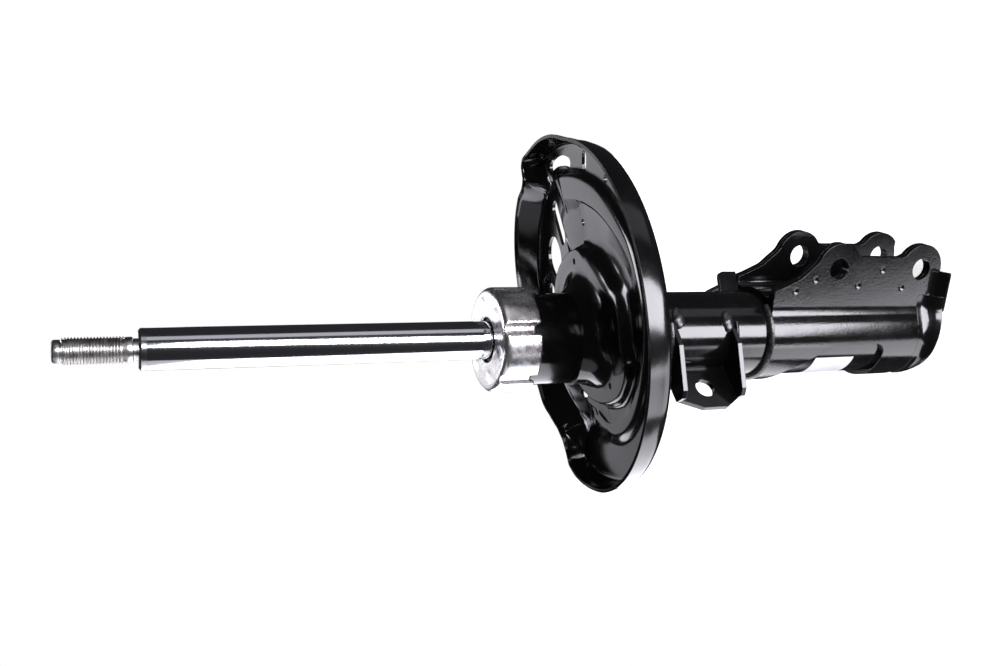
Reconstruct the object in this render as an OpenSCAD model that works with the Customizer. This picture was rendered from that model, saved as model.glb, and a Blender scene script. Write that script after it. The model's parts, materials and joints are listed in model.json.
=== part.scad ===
// Suspension strut assembly: twin-tube damper with spring seat and knuckle bracket.
// +Z runs along the rod towards the stud, +X towards the free edges of the bracket ears.
// The origin is the centre of the upper knuckle bolt bore, midway between the ears.

/* [Show] */
// Node to draw

/* [Tube] */
// Outer diameter of the strut tube
tube_od = 54; // [52:0.5:56]
// Wall of the strut tube
tube_wall = 2.4; // [2:0.1:2.8]
// Height of the tube's rolled top edge
tube_top = 224.1; // [218:0.5:232]
// Height of the tube's lower end
tube_foot = -80; // [-82:0.5:-78]

/* [Rod] */
// Diameter of the piston rod
rod_d = 22; // [20:0.5:22]
// Height of the rod's shoulder under the stud
rod_shoulder = 415; // [380:1:450]
// Outer diameter of the stud's thread
stud_d = 14; // [12:0.5:16]
// Length of the stud above the shoulder
stud_length = 40.2; // [36:0.2:48]

/* [Bump cap] */
// How far the bump cap's lobes stand off the tube
cap_lobe = 3.5; // [3:0.1:4.5]
// Sheet of the bump cap
cap_sheet = 1.6; // [1.2:0.1:2]
// Depth of the bump cap's skirt
cap_depth = 22.5; // [20:0.5:26]
// Number of lobes round the bump cap
cap_lobes = 6; // [5:1:8]

/* [Spring seat] */
// Sheet of the stamped spring seat
seat_sheet = 3; // [2.6:0.1:3.4]
// Outer radius of the seat's rim on its deep side
rim_r = 106.5; // [104:0.5:110]
// Height of the rim above the spring track
rim_h = 12.5; // [10:0.5:15]
// Height of the stamped centre above the spring track
step_h = 3.5; // [3:0.25:5]
// Lean of the seat from square to the tube, in degrees
seat_lean = 7.6; // [5:0.1:9]
// Height of the seat's centre
seat_z = 155.55; // [150:0.5:158]

/* [Knuckle bracket] */
// Plate of the knuckle bracket
plate = 3; // [2.5:0.1:3.2]
// Distance from the tube's axis to the bolt bores
hole_reach = 47.5; // [46:0.5:50]
// Distance between the two bolt bores
bolt_pitch = 66.8; // [64:0.2:70]
// Radius of the bolt bores
bolt_r = 7.1; // [6:0.1:7.5]
// Gap between the inner plates of the ears
ear_gap = 34; // [33:0.5:36]
// Radius of the ear lobes round the bores
lobe_r = 16.4; // [15.8:0.1:17]
// Height of the wrap's upper edge
wrap_top = 46.2; // [44:0.2:48]
// Radius of the bend from wrap to ear
ear_bend = 12; // [10:0.5:13]

/* [Stabiliser bracket] */
// Plate of the stabiliser bracket
stab_plate = 3; // [2.5:0.1:3.5]
// Height of the stabiliser bracket's bore
stab_z = 95.7; // [92:0.5:99]
// Height over both flanges
stab_h = 44; // [40:0.5:48]
// Radius of the stabiliser link bore
stab_r = 6.1; // [5:0.1:6.5]
// Reach of the stabiliser bore from the tube's axis
stab_reach = 42; // [40:0.5:43]

/* [Damper] */
// Bore of the pressure tube
bore_d = 32; // [31.6:0.1:32.4]
// Wall of the pressure tube
bore_wall = 1.5; // [1.2:0.1:1.8]
// Radial running gap of rod and piston
run_gap = 0.04; // [0.03:0.01:0.08]
// Length of the piston
piston_h = 18; // [16:0.5:20]

/* [Hidden] */
$fn = 96;
eps = 0.5;
tube_r = tube_od / 2;
tube_in = tube_r - tube_wall;
rod_r = rod_d / 2;
stud_r = stud_d / 2;
stud_tip = rod_shoulder + stud_length;
axis_x = -hole_reach;
// bump cap
cap_r = tube_r + cap_lobe;
cap_face = tube_top + cap_sheet;
cap_bore = rod_r + 2.15;
groove_r = 5;
groove_c = tube_r + cap_sheet + groove_r;
cap_low = cap_face - cap_depth;
// seat, in its own leaning frame
seat_dx = 12.07;
seat_dy = 5.7;
lean_dir = 149.8;
track_r = rim_r - 6.9;
track_in = 82;
lobe_x = 42;
lobe_y = 45;
lobe_rim = rim_r - 46.5;
far_x = 8;
far_y = 12;
far_rim = rim_r - 10;
far_h = rim_h + 2;
hub_x = 6.3 - seat_dx;
hub_y = -3.4 - seat_dy;
hub_top = step_h + 4;
hub_out = 46;
hub_in = 36;
hub_foot = 54;
hub_sheet = 2.5;
neck_top = seat_z + 19;
// knuckle bracket
ear_in = ear_gap / 2 + plate;
ear_out = ear_in + plate;
wrap_r = tube_r + plate;
bend_y = ear_out + ear_bend;
bend_x = sqrt(pow(wrap_r + ear_bend, 2) - pow(bend_y, 2));
bend_a = atan2(bend_y, bend_x);
low_z = -bolt_pitch;
foot_z = low_z - 18.5;
ear_flat = hole_reach + 7.6;
saddle_r = 4;
saddle_y = ear_gap / 2 - saddle_r;
saddle_x = sqrt(pow(wrap_r + saddle_r, 2) - pow(saddle_y, 2));
saddle_a = atan2(saddle_y, saddle_x);
// stabiliser bracket
stab_a = -125;
stab_top = stab_z + stab_h / 2;
stab_low = stab_z - stab_h / 2;
bead_r = 2.8;
// damper
bore_r = bore_d / 2;
press_r = bore_r + bore_wall;
guide_low = tube_top - 30;
guide_step = guide_low + 10;
guide_top = tube_top - 4.4;
lip_z = tube_top - tube_wall;
lip_r = tube_in - 5;
bush_r = rod_r + 1.5;
seal_r = rod_r + 6;
seal_z = guide_top - 9.7;
valve_foot = tube_foot + 3;
valve_step = valve_foot + 13;
valve_top = valve_step + 9;
stem_r = rod_r - 5;
piston_top = guide_low - 58;
piston_low = piston_top - piston_h;
piston_r = bore_r - 0.7;
band_in = bore_r - 1.7;
rod_foot = piston_top + 4;
stem_foot = piston_low - 13;
stop_z = guide_low - 18;

// A box-free ring: outer radius, inner radius, from z0 to z1.
module ring(ro, ri, z0, z1) {
    translate([0, 0, z0])
    linear_extrude(z1 - z0)
    difference() {
        circle(r = ro);
        circle(r = ri);
    }
}

// Children placed on the tube's axis.
module on_tube() {
    translate([axis_x, 0, 0]) children();
}

// Children placed in the seat's leaning frame, origin at the centre of the spring track.
module on_seat() {
    translate([axis_x + seat_dx, seat_dy, seat_z])
    rotate([0, 0, lean_dir])
    rotate([0, seat_lean, 0])
    rotate([0, 0, -lean_dir])
    children();
}

// A flat wedge from the origin between two angles, less than a half turn apart.
module wedge(a0, a1, reach) {
    am = (a0 + a1) / 2;
    polygon([
        [0, 0],
        [reach * cos(a0), reach * sin(a0)],
        [1.5 * reach * cos(am), 1.5 * reach * sin(am)],
        [reach * cos(a1), reach * sin(a1)]
    ]);
}

// ---------------------------------------------------------------- outer body

module outer_tube() {
    color([0.03, 0.03, 0.03])
    on_tube()
    union() {
        ring(tube_r, tube_in, tube_foot, tube_top);
        ring(tube_in + eps, lip_r, lip_z, tube_top);
    }
}

module base_cap() {
    dome_r = 70;
    drop = dome_r - sqrt(pow(dome_r, 2) - pow(tube_in, 2));
    color([0.03, 0.03, 0.03])
    on_tube()
    union() {
        ring(tube_in, tube_in - 2.4, tube_foot, tube_foot + 12);
        translate([0, 0, tube_foot + dome_r - drop])
        rotate_extrude()
        intersection() {
            difference() {
                circle(r = dome_r);
                circle(r = dome_r - 3);
            }
            translate([0, -dome_r - 1]) square([tube_in, drop + 1]);
        }
        ring(tube_in, 0.01 + tube_in - 3.4, tube_foot - 0.2, tube_foot + 1.5);
    }
}

module cap_outline(r, cut) {
    difference() {
        circle(r = r);
        for (i = [0:cap_lobes - 1])
            rotate([0, 0, -2 + i * 360 / cap_lobes])
            translate([groove_c, 0])
            circle(r = cut);
    }
}

// A drum with a rounded upper edge, used to shape the cap inside and out.
module round_drum(r, edge, low, high) {
    translate([0, 0, low])
    rotate_extrude()
    union() {
        square([r, high - low - edge]);
        square([r - edge, high - low]);
        translate([r - edge, high - low - edge]) circle(r = edge);
    }
}

module bump_cap() {
    color([0.75, 0.76, 0.78])
    on_tube()
    difference() {
        intersection() {
            translate([0, 0, cap_low]) linear_extrude(cap_depth + 1) cap_outline(cap_r + 1, groove_r);
            round_drum(cap_r, 4, cap_low - 1, cap_face);
        }
        intersection() {
            translate([0, 0, cap_low - 1])
            linear_extrude(cap_depth + 2)
            cap_outline(cap_r + 1, groove_r + cap_sheet);
            round_drum(cap_r - cap_sheet, 2.4, cap_low - 2, tube_top);
        }
        translate([0, 0, cap_face - 5]) cylinder(r = cap_bore, h = 10);
        for (i = [0:cap_lobes - 1])
            rotate([0, 0, -2 + i * 360 / cap_lobes]) {
                translate([cap_r - 8, 0, cap_low]) rotate([0, 90, 0]) cylinder(r = 3.4, h = 12);
                rotate([0, 0, 180 / cap_lobes])
                translate([21.5, 0, cap_face + 11.3])
                sphere(r = 12);
            }
    }
}

// ---------------------------------------------------------------- spring seat

// The pan's floor outline: deep track side, upper lobe and far side.
module seat_outline(grow) {
    union() {
        intersection() {
            circle(r = track_r + grow);
            union() {
                wedge(168, 260, 200);
                wedge(255, 340, 200);
                wedge(330, 410, 200);
            }
        }
        intersection() {
            translate([lobe_x, lobe_y]) circle(r = lobe_rim - 6.9 + grow);
            wedge(-20, 48.5, 200);
        }
        intersection() {
            translate([far_x, far_y]) circle(r = far_rim - 11 + grow);
            union() {
                wedge(48.5, 110, 200);
                wedge(105, 168.5, 200);
            }
        }
    }
}

// Everything below the pan's upper surface, before the sheet is hollowed from under it.
module seat_mass() {
    slope = 5;
    union() {
        translate([0, 0, -20]) linear_extrude(20) seat_outline(0.8);
        intersection() {
            translate([0, 0, -20]) linear_extrude(40) seat_outline(0.8);
            union() {
                translate([2, -1, 0])
                cylinder(r1 = track_in, r2 = track_in - slope, h = step_h);
                intersection() {
                    translate([-28, 13, 0])
                    cylinder(r1 = track_in + 33, r2 = track_in + 33 - slope, h = step_h);
                    linear_extrude(30) wedge(-30, 64, 200);
                }
                linear_extrude(step_h)
                intersection() {
                    translate([far_x, far_y]) circle(r = far_rim - 10);
                    union() {
                        wedge(60, 115, 200);
                        wedge(110, 166, 200);
                    }
                }
            }
        }
    }
}

// Section of a pressed wall: foot radius, foot height, rim radius, rim height.
module wall_section(r0, h0, r1, h1) {
    w = seat_sheet * 1.04;
    polygon([
        [r0 - 1.5, h0 - seat_sheet * 0.85],
        [r0, h0 - seat_sheet * 0.8],
        [r1, h1],
        [r1 - w, h1],
        [r0 - w + 1, h0 + 1],
        [r0 - w - 1.2, h0 - 0.4],
        [r0 - w - 0.4, h0 - seat_sheet * 0.5]
    ]);
}

// Short radial wall between two walls of different radius, sloping out as they do.
module joggle(angle, r_in, r_out) {
    rotate([0, 0, angle])
    rotate([90, 0, 0])
    linear_extrude(seat_sheet, center = true)
    polygon([
        [r_in, -seat_sheet * 0.6],
        [r_out - 0.4, -seat_sheet * 0.6],
        [r_out + 3.6, rim_h - 0.4],
        [r_in + 3, rim_h - 0.4]
    ]);
}

module seat_walls() {
    near_foot = rim_r - 4.7;
    union() {
        rotate([0, 0, 167.4])
        rotate_extrude(angle = 212.1)
        wall_section(near_foot, 0, rim_r, rim_h);
        translate([lobe_x, lobe_y, 0])
        rotate([0, 0, -10])
        rotate_extrude(angle = 59.5)
        wall_section(lobe_rim - 4.7, 0, lobe_rim, rim_h);
        translate([far_x, far_y, 0])
        rotate([0, 0, 49])
        rotate_extrude(angle = 127)
        wall_section(far_rim - 8.5, step_h, far_rim, far_h);
        // joggles where the far wall steps out to the deep side and to the lobe
        joggle(168, far_rim - 12, rim_r - 5.2);
        joggle(48.9, far_rim + 6, rim_r + 9.6);
    }
}

// A slot with round ends along an arc: radius of its centre line, angles, half its width.
module arc_slot(r, a0, a1, half) {
    rotate([0, 0, a0])
    rotate_extrude(angle = a1 - a0)
    translate([r - half, 0])
    square([2 * half, 30]);
    for (a = [a0, a1])
        rotate([0, 0, a]) translate([r, 0, 0]) cylinder(r = half + 0.15, h = 30);
}

module seat_windows() {
    translate([0, 0, -10]) {
        // curved slot near the rim
        translate([lobe_x, lobe_y, 0]) arc_slot(45.1, -7, 31, 3.3);
        // rectangular slot across the track
        translate([86.7, 10.7, 0]) cube([9.4, 6.7, 30]);
        // drain hole
        translate([85.4, -17.9, 0]) cylinder(r = 2.4, h = 30);
        // long slot
        translate([38.8, 45.3, 0])
        rotate([0, 0, 49.5]) {
            translate([0, -4.8, 0]) cube([23.5, 9.6, 30]);
            for (x = [0, 23.5]) translate([x, 0, 0]) cylinder(r = 4.95, h = 30);
        }
        // round window beside it
        translate([21.8, 61.6, 0]) cylinder(r = 12, h = 30);
        // slot on the far side
        arc_slot(66.3, 92, 102, 5.6);
        // small round holes
        translate([55.3, 10.9, 0]) cylinder(r = 2.2, h = 30);
        translate([69.5, 53.7, 0]) cylinder(r = 1.5, h = 30);
    }
}

module spring_seat() {
    color([0.03, 0.03, 0.03])
    on_seat()
    difference() {
        union() {
            difference() {
                seat_mass();
                translate([0, 0, -seat_sheet]) seat_mass();
                translate([0, 0, -60]) cylinder(r = 200, h = 60 - seat_sheet - 0.001);
            }
            intersection() {
                translate([0, 0, step_h - 0.8]) rotate_extrude() translate([70, 0]) circle(r = 1.7);
                translate([0, 0, step_h - 2]) linear_extrude(4) seat_outline(-2);
            }
            seat_walls();
        }
        translate([hub_x, hub_y, -20]) cylinder(r = hub_foot - 4.5, h = 60);
        seat_windows();
    }
}

module neck_loft(low_r, top_r, low_lift, top_lift) {
    hull() {
        on_seat()
        translate([hub_x, hub_y, hub_top - hub_sheet + low_lift])
        cylinder(r = low_r, h = 0.2);
        on_tube()
        translate([0, 0, neck_top - 5 + top_lift])
        cylinder(r = top_r, h = 5);
    }
}

module seat_collar() {
    color([0.03, 0.03, 0.03])
    difference() {
        union() {
            on_seat()
            translate([hub_x, hub_y, 0])
            rotate_extrude()
            polygon([
                [hub_in, hub_top - hub_sheet],
                [hub_out - 1, hub_top - hub_sheet],
                [hub_foot - 4, step_h],
                [hub_foot, step_h],
                [hub_foot - 0.6, step_h + 1],
                [hub_out + 0.5, hub_top],
                [hub_in, hub_top]
            ]);
            neck_loft(hub_in + 1.2, tube_r + 2.4, 0.1, 0);
        }
        neck_loft(hub_in - 1.4, tube_r - 0.3, -0.6, -0.6);
        on_tube() translate([0, 0, tube_foot]) cylinder(r = tube_r, h = 400);
        on_seat()
        translate([hub_x, hub_y, 0])
        for (a = [25, -120.2])
            rotate([0, 0, a])
            translate([42, 0, 0])
            cylinder(r = 1.8, h = 40);
    }
}

// ---------------------------------------------------------------- knuckle bracket

// Plan of the wrapped sheet: round the tube, then bent out along the ears.
module wrap_plan() {
    union() {
        difference() {
            circle(r = wrap_r);
            circle(r = tube_r);
            wedge(-bend_a + 0.5, bend_a - 0.5, 80);
        }
        for (s = [-1, 1])
            scale([1, s]) {
                translate([bend_x, bend_y])
                intersection() {
                    difference() {
                        circle(r = ear_bend + plate);
                        circle(r = ear_bend);
                    }
                    wedge(179 + bend_a, 271, 80);
                }
                translate([bend_x, ear_in]) square([30 + hole_reach, plate]);
            }
    }
}

// Solid that trims the sheets to the side outline of the ears and the wrap.
module ear_block() {
    rotate([90, 0, 0])
    union() {
        linear_extrude(100, center = true)
        polygon([
            [-wrap_r - 2, wrap_top],
            [33.1, wrap_top],
            [35.7, wrap_top - 6.7],
            [41, wrap_top - 18.3],
            [50.5, 17.2],
            [ear_flat + 2.1, 12.2],
            [ear_flat + 2.1, -12.6],
            [ear_flat, -17.3],
            [ear_flat, low_z + 17.3],
            [ear_flat + 2.1, low_z + 12.6],
            [ear_flat + 2.1, low_z - 12],
            [49.2, foot_z + 4.2],
            [46.9, foot_z + 2.8],
            [17, foot_z + 2.8],
            [-wrap_r - 2, low_z + 4.2]
        ]);
        for (z = [0, low_z])
            translate([hole_reach, z, 0])
            cylinder(r = lobe_r, h = 100, center = true);
    }
}

module bolt_bores() {
    for (z = [0, low_z])
        translate([hole_reach, 0, z])
        rotate([90, 0, 0])
        cylinder(r = bolt_r, h = 80, center = true);
}

// Opening through the back of the wrap.
module wrap_window() {
    rotate([90, 0, 0])
    linear_extrude(100, center = true)
    union() {
        polygon([
            [-50, 35.7],
            [-26, 35.7],
            [-18.9, 28.5],
            [-3.7, 4.7],
            [-0.4, -2.3],
            [-0.4, -35.3],
            [-7.4, -42.3],
            [-50, -42.3]
        ]);
        translate([-7.4, -35.3]) circle(r = 7);
    }
}

// Plan that the flared lip is trimmed to.
module lip_plan() {
    polygon([
        [46.4, 10],
        [46.4, ear_out + 6.6],
        [44.6, ear_out + 9],
        [24, ear_out + 9],
        [19.5, ear_out + 6],
        [17.5, ear_out + 2.5],
        [16.6, 23],
        [20, 10]
    ]);
}

// Lower edge of an ear, flared outwards.
module flared_lip() {
    intersection() {
        translate([0, 0, foot_z - 1]) linear_extrude(20) lip_plan();
        translate([10, 0, foot_z])
        rotate([90, 0, 90])
        linear_extrude(45)
        polygon([
            [ear_in + 0.6, 4.6],
            [ear_in + 0.6, 8.3],
            [ear_out - 0.2, 9.6],
            [ear_out + 0.4, 7.2],
            [ear_out + 2, 5.2],
            [ear_out + 8.2, 1.6],
            [ear_out + 8.4, 0.6],
            [ear_out + 7.4, -0.6],
            [ear_out + 5.8, -0.6],
            [ear_out + 0.2, 1.8],
            [ear_in + 1.7, 3]
        ]);
    }
}

module knuckle_bracket() {
    dents = [[33.5, 31.2], [40.7, 17.4], [36.8, -16.9], [46.9, -34.6], [35.4, -52.9]];
    color([0.03, 0.03, 0.03])
    on_tube()
    difference() {
        union() {
            intersection() {
                translate([0, 0, foot_z - 1]) linear_extrude(wrap_top - foot_z + 2) wrap_plan();
                ear_block();
            }
            for (s = [0, 1])
                mirror([0, s, 0])
                flared_lip();
        }
        wrap_window();
        bolt_bores();
        for (s = [0, 1])
            mirror([0, s, 0])
            for (p = dents)
                translate([p[0], ear_out + 3.1, p[1]])
                sphere(r = 4);
    }
}

module bracket_reinforcement() {
    top = wrap_top - 1.2;
    low = foot_z + 6;
    color([0.03, 0.03, 0.03])
    on_tube()
    difference() {
        intersection() {
            translate([0, 0, low])
            linear_extrude(top - low)
            union() {
                intersection() {
                    difference() {
                        circle(r = wrap_r);
                        circle(r = tube_r);
                    }
                    wedge(-saddle_a - 1, saddle_a + 1, 80);
                }
                for (s = [-1, 1])
                    scale([1, s]) {
                        translate([saddle_x, saddle_y])
                        intersection() {
                            difference() {
                                circle(r = saddle_r + plate);
                                circle(r = saddle_r);
                            }
                            wedge(89, 181 + saddle_a, 80);
                        }
                        translate([saddle_x, ear_gap / 2]) square([50, plate]);
                    }
            }
            ear_block();
        }
        bolt_bores();
    }
}

// ---------------------------------------------------------------- small brackets

module stab_plan() {
    polygon([
        [12, -18],
        [15.4, -22.5],
        [4.6, -34.8],
        [-20, -46],
        [-25, -45.6],
        [-28.7, -41],
        [20 * cos(stab_a), 20 * sin(stab_a)]
    ]);
}

module stabiliser_bracket() {
    half = stab_h / 2;
    color([0.03, 0.03, 0.03])
    on_tube()
    difference() {
        union() {
            translate([0, 0, stab_low]) linear_extrude(stab_plate) stab_plan();
            translate([0, 0, stab_top - stab_plate]) linear_extrude(stab_plate) stab_plan();
            translate([0, 0, stab_z])
            rotate([0, 0, stab_a])
            rotate([90, 0, 0])
            linear_extrude(stab_plate, center = true)
            polygon([
                [22, 0.4 - half],
                [stab_reach + 7, 0.4 - half],
                [stab_reach + 14, -10],
                [stab_reach + 14, 6],
                [stab_reach + 7, half - 0.4],
                [22, half - 0.4]
            ]);
        }
        translate([0, 0, stab_low - 1]) cylinder(r = tube_r, h = stab_h + 2);
        rotate([0, 0, stab_a])
        translate([stab_reach, 0, stab_z])
        rotate([90, 0, 0])
        cylinder(r = stab_r, h = 10, center = true);
    }
}

module hose_bracket() {
    strap = 2.5;
    low = wrap_top + 1.8;
    color([0.03, 0.03, 0.03])
    on_tube()
    rotate([0, 0, 30])
    difference() {
        union() {
            // rounded tab that stands on the tube
            translate([0, 0, low])
            rotate([90, 0, 0])
            linear_extrude(strap)
            union() {
                translate([tube_r - 3, 0]) square([12.7, 13.5]);
                translate([tube_r - 3, 0]) square([16.7, 9.5]);
                translate([tube_r + 9.7, 9.5]) circle(r = 4);
            }
            // arm that holds the hose behind it
            translate([tube_r + 4, -0.5, low]) cube([strap, 18.5, 11]);
        }
        translate([0, 0, low - 1]) cylinder(r = tube_r, h = 20);
        translate([tube_r, 11.5, low + 5.5]) rotate([0, 90, 0]) cylinder(r = 3.3, h = 12);
    }
}

// A bar round the tube: height, start angle, sweep, radius of its centre line, section radius.
module bead(z, a0, sweep, r, w) {
    translate([0, 0, z])
    rotate([0, 0, a0])
    rotate_extrude(angle = sweep)
    translate([r, 0])
    circle(r = w);
}

// Half a weld bead, lying on the upper (side 1) or lower (side -1) face of a sheet.
module half_bead(z, side, a0, sweep, r, w) {
    translate([0, 0, z])
    mirror([0, 0, side > 0 ? 0 : 1])
    rotate([0, 0, a0])
    rotate_extrude(angle = sweep)
    intersection() {
        translate([r, 0]) circle(r = w);
        translate([tube_r, 0]) square([w * 3, w * 2]);
    }
}

module weld_beads() {
    color([0.05, 0.05, 0.05])
    on_tube()
    union() {
        half_bead(stab_top, 1, -122, 64, tube_r + 0.6, bead_r);
        half_bead(stab_low, -1, -122, 64, tube_r + 0.6, bead_r);
        half_bead(wrap_top, 1, -170, 134, tube_r + 0.6, bead_r);
        half_bead(wrap_top, 1, 100, 50, tube_r + 0.6, bead_r);
        translate([0, 0, tube_foot])
        rotate_extrude()
        intersection() {
            translate([tube_in + 1.2, 0]) circle(r = 1.1);
            translate([tube_in, -2]) square([3, 2]);
        }
    }
}

// ---------------------------------------------------------------- damper inside

module pressure_tube() {
    color([0.6, 0.6, 0.62])
    on_tube()
    ring(press_r, bore_r, valve_step, guide_step);
}

module rod_guide() {
    color([0.45, 0.44, 0.43])
    on_tube()
    union() {
        ring(bore_r, bush_r, guide_low, guide_step);
        ring(tube_in, bush_r, guide_step, seal_z);
        ring(tube_in, seal_r, seal_z, guide_top);
    }
}

module guide_bush() {
    color([0.5, 0.4, 0.25])
    on_tube()
    ring(bush_r, rod_r + run_gap, guide_low + 1, seal_z);
}

module rod_seal() {
    color([0.05, 0.05, 0.05])
    on_tube()
    difference() {
        union() {
            ring(seal_r, rod_r + run_gap, seal_z, guide_top);
            ring(rod_r + 2.4, rod_r + run_gap, guide_top - 1, tube_top - 0.6);
        }
        bead(tube_top - 2.2, 0, 360, rod_r + 2.6, 0.8);
    }
}

module seal_spring() {
    color([0.7, 0.7, 0.7])
    on_tube()
    bead(tube_top - 2.2, 0, 360, rod_r + 2.6, 0.8);
}

module seal_retainer() {
    color([0.6, 0.6, 0.62])
    on_tube()
    ring(tube_in, rod_r + 3.6, guide_top, lip_z);
}

module base_valve() {
    color([0.45, 0.44, 0.43])
    on_tube()
    difference() {
        union() {
            translate([0, 0, valve_foot]) cylinder(r = press_r + 1.5, h = valve_step - valve_foot);
            translate([0, 0, valve_foot]) cylinder(r = bore_r, h = valve_top - valve_foot);
        }
        translate([0, 0, valve_foot - 1]) cylinder(r = 12, h = 8);
        for (a = [0:90:359])
            rotate([0, 0, a])
            translate([0, -3, valve_foot - 1])
            cube([30, 6, 6]);
        for (a = [30:60:359])
            rotate([0, 0, a])
            translate([8.5, 0, valve_foot])
            cylinder(r = 1.4, h = 40);
        translate([0, 0, valve_foot]) cylinder(r = 2.5, h = 40);
    }
}

module base_shims() {
    color([0.6, 0.6, 0.62])
    on_tube()
    union() {
        ring(10.5, 2.5, valve_foot + 6.2, valve_foot + 7);
        ring(7, 2.5, valve_foot + 5.4, valve_foot + 6.2);
    }
}

module intake_disc() {
    color([0.6, 0.6, 0.62])
    on_tube()
    union() {
        ring(13.5, 2.5, valve_top, valve_top + 0.6);
        ring(6, 2.5, valve_top + 0.6, valve_top + 1.6);
    }
}

module base_valve_pin() {
    color([0.6, 0.6, 0.62])
    on_tube()
    union() {
        translate([0, 0, valve_foot + 3]) cylinder(r = 2.5, h = valve_top - valve_foot + 1);
        translate([0, 0, valve_foot + 3]) cylinder(r = 4.5, h = 2.4);
        translate([0, 0, valve_top + 1.6]) cylinder(r = 4, h = 2.4);
    }
}

// ---------------------------------------------------------------- rod group

module piston_rod() {
    color([0.8, 0.81, 0.83])
    on_tube()
    difference() {
        union() {
            translate([0, 0, stem_foot]) cylinder(r = stem_r, h = rod_foot - stem_foot + 1);
            translate([0, 0, rod_foot]) cylinder(r = rod_r, h = rod_shoulder - 1 - rod_foot);
            translate([0, 0, rod_shoulder - 1]) cylinder(r1 = rod_r, r2 = rod_r - 1, h = 1);
            translate([0, 0, rod_shoulder - 1]) cylinder(r = stud_r - 1.25, h = stud_length - 3);
            translate([0, 0, rod_shoulder + 2.5]) cylinder(r = stud_r - 0.5, h = 3.6);
            translate([0, 0, rod_shoulder + 6.1]) cylinder(r = stud_r, h = stud_length - 11.3);
            translate([0, 0, stud_tip - 6]) cylinder(r = stud_r - 1.1, h = 5);
            translate([0, 0, stud_tip - 1]) cylinder(r1 = stud_r - 1.1, r2 = stud_r - 2.1, h = 1);
        }
        ring(rod_r + 1, rod_r - 0.8, stop_z, stop_z + 5);
    }
}

module piston() {
    color([0.45, 0.44, 0.43])
    on_tube()
    difference() {
        ring(piston_r, stem_r, piston_low, piston_top);
        ring(bore_r + 1, band_in - run_gap, piston_low + 3, piston_top - 3);
        for (a = [0:60:359])
            rotate([0, 0, a])
            translate([9.3, 0, piston_low - 1])
            cylinder(r = 1.3, h = piston_h + 2);
    }
}

module piston_band() {
    color([0.25, 0.2, 0.12])
    on_tube()
    ring(bore_r - run_gap, band_in, piston_low + 3.05, piston_top - 3.05);
}

module compression_shims() {
    color([0.6, 0.6, 0.62])
    on_tube()
    union() {
        ring(12.5, stem_r, piston_top, piston_top + 1);
        ring(9, stem_r, piston_top + 1, rod_foot);
    }
}

module rebound_shims() {
    color([0.6, 0.6, 0.62])
    on_tube()
    union() {
        ring(12.5, stem_r, piston_low - 1, piston_low);
        ring(9, stem_r, piston_low - 3, piston_low - 1);
    }
}

module piston_nut() {
    af = 18;
    color([0.6, 0.6, 0.62])
    on_tube()
    translate([0, 0, piston_low - 12])
    linear_extrude(9)
    difference() {
        intersection() {
            square([af, 40], center = true);
            rotate([0, 0, 60]) square([af, 40], center = true);
            rotate([0, 0, 120]) square([af, 40], center = true);
        }
        circle(r = stem_r);
    }
}

module rebound_stop() {
    color([0.6, 0.6, 0.62])
    on_tube()
    ring(bore_r - 1.2, rod_r - 0.8, stop_z, stop_z + 5);
}

module rebound_bumper() {
    color([0.06, 0.06, 0.06])
    on_tube()
    ring(bore_r - 1.5, rod_r, stop_z + 5, guide_low - 0.5);
}

outer_tube();
base_cap();
bump_cap();
spring_seat();
seat_collar();
knuckle_bracket();
bracket_reinforcement();
stabiliser_bracket();
hose_bracket();
weld_beads();
pressure_tube();
rod_guide();
guide_bush();
rod_seal();
seal_spring();
seal_retainer();
base_valve();
base_shims();
intake_disc();
base_valve_pin();
piston_rod();
piston();
piston_band();
compression_shims();
rebound_shims();
piston_nut();
rebound_stop();
rebound_bumper();
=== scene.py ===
"""Suspension strut assembly: modelled pieces, finishes, studio and camera."""

import json  # noqa: E402
import logging  # noqa: E402
import math  # noqa: E402
from bisect import bisect_right  # noqa: E402
from contextlib import contextmanager  # noqa: E402
from dataclasses import dataclass, replace  # noqa: E402
from enum import Enum  # noqa: E402
from functools import partial  # noqa: E402
from typing import Callable, ClassVar, Iterator, Sequence  # noqa: E402

import bpy  # noqa: E402
from mathutils import Matrix, Vector  # noqa: E402

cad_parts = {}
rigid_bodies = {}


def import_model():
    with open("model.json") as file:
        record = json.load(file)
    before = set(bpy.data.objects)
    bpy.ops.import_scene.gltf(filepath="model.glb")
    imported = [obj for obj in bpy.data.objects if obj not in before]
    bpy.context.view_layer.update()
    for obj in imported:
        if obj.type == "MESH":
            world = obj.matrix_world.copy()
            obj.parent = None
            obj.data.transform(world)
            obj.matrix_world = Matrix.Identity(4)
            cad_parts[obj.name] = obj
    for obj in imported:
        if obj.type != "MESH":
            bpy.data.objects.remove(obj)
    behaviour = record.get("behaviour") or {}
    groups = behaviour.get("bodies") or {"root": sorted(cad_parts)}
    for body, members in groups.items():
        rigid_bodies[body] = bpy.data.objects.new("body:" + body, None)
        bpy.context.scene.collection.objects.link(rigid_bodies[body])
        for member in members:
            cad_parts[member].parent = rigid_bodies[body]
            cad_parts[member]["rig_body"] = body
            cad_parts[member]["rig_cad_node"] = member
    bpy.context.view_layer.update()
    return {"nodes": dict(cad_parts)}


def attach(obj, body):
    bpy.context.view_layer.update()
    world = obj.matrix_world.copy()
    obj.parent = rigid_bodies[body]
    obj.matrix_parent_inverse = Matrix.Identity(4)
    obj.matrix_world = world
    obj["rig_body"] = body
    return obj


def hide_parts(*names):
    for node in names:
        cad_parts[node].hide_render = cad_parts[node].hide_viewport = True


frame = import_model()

log = logging.getLogger("strut")

MM = 0.001
AXIS_X = -47.5
DOUBLES = 1e-6
FRAME_DOUBLES = 2e-6
MIDDLE = (0.3, 0.7)
UNIT = (0.0, 1.0)

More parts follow.
